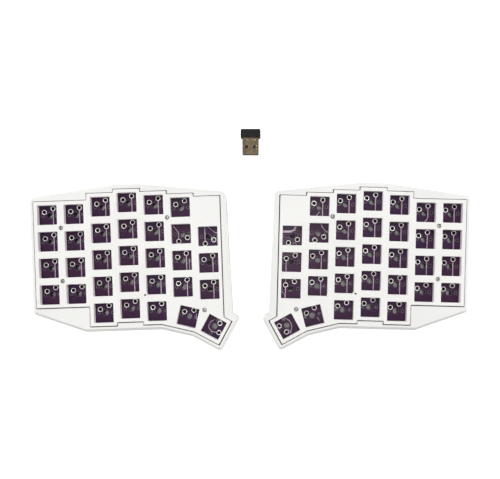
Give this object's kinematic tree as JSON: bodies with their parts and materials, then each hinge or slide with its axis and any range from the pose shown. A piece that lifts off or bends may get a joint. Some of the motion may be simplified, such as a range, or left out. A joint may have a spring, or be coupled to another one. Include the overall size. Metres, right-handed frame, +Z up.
{
  "type": "split keyboard kit",
  "caption": "Ergonomic split keyboard kit in white: two mirrored halves with staggered switch sites, no switches or caps, and a small wireless receiver.",
  "frame": {"origin": "middle of the whole set's footprint, on the table", "axes": "+X to the typist's right, along the row of two halves; +Y away from the typist; +Z up from the table"},
  "size_m": [0.3166, 0.161, 0.0155],
  "materials": {
    "white_case": "moulded white, fine satin",
    "white_plate": "moulded white, fine satin",
    "gasket": "thin black foam",
    "board": "dark aubergine solder mask, semi-gloss",
    "screws": "plain steel",
    "port_metal": "bright pressed steel",
    "port_plastic": "black",
    "module_board": "green solder mask",
    "shield_metal": "pressed steel can",
    "battery_foil": "foil pouch",
    "switch_body": "black",
    "slider": "black",
    "reset_body": "pressed steel cover",
    "reset_button": "black",
    "pads": "dull black rubber",
    "sockets": "black moulded",
    "diodes": "black moulded",
    "receiver_cap": "satin black",
    "receiver_metal": "warm grey plated steel",
    "receiver_plastic": "black",
    "receiver_board": "green solder mask",
    "contacts": "gold-plated strips"
  },
  "bodies": {
    "left_half": {"left_case": "white_case", "left_switch_plate": "white_plate", "left_plate_gasket": "gasket", "left_circuit_board": "board", "left_plate_screws": "screws", "left_usb_shell": "port_metal", "left_usb_tongue": "port_plastic", "left_radio_module": "module_board", "left_radio_shield": "shield_metal", "left_battery": "battery_foil", "left_power_switch": "switch_body", "left_reset_switch": "reset_body", "left_rubber_pads": "pads", "left_switch_sockets": "sockets", "left_diodes": "diodes"},
    "left_power_slider": {"left_power_slider": "slider"},
    "left_reset_plunger": {"left_reset_plunger": "reset_button"},
    "right_half": {"right_case": "white_case", "right_switch_plate": "white_plate", "right_plate_gasket": "gasket", "right_circuit_board": "board", "right_plate_screws": "screws", "right_usb_shell": "port_metal", "right_usb_tongue": "port_plastic", "right_radio_module": "module_board", "right_radio_shield": "shield_metal", "right_battery": "battery_foil", "right_power_switch": "switch_body", "right_reset_switch": "reset_body", "right_rubber_pads": "pads", "right_switch_sockets": "sockets", "right_diodes": "diodes"},
    "right_power_slider": {"right_power_slider": "slider"},
    "right_reset_plunger": {"right_reset_plunger": "reset_button"},
    "receiver": {"receiver_cap": "receiver_cap", "receiver_shell": "receiver_metal", "receiver_insert": "receiver_plastic", "receiver_board": "receiver_board", "receiver_contacts": "contacts"}
  },
  "joints": [
    {"name": "halves_apart", "type": "slide", "parent": "left_half", "child": "right_half", "axis": [1, 0, 0], "range_m": [-0.01, 0.15]},
    {"name": "receiver_along_table", "type": "slide", "parent": "left_half", "child": "receiver", "axis": [0, 1, 0], "range_m": [0, 0.1]},
    {"name": "left_power_switch_slide", "type": "slide", "parent": "left_half", "child": "left_power_slider", "axis": [-0.0349, 0.9994, 0], "range_m": [0, 0.002]},
    {"name": "left_reset_press", "type": "slide", "parent": "left_half", "child": "left_reset_plunger", "axis": [0, 0, -1], "range_m": [0, 0.0002], "stiffness_N_per_m": 1500},
    {"name": "right_power_switch_slide", "type": "slide", "parent": "right_half", "child": "right_power_slider", "axis": [0.0262, 0.9997, 0], "range_m": [0, 0.002]},
    {"name": "right_reset_press", "type": "slide", "parent": "right_half", "child": "right_reset_plunger", "axis": [0, 0, -1], "range_m": [0, 0.0002], "stiffness_N_per_m": 1500}
  ]
}
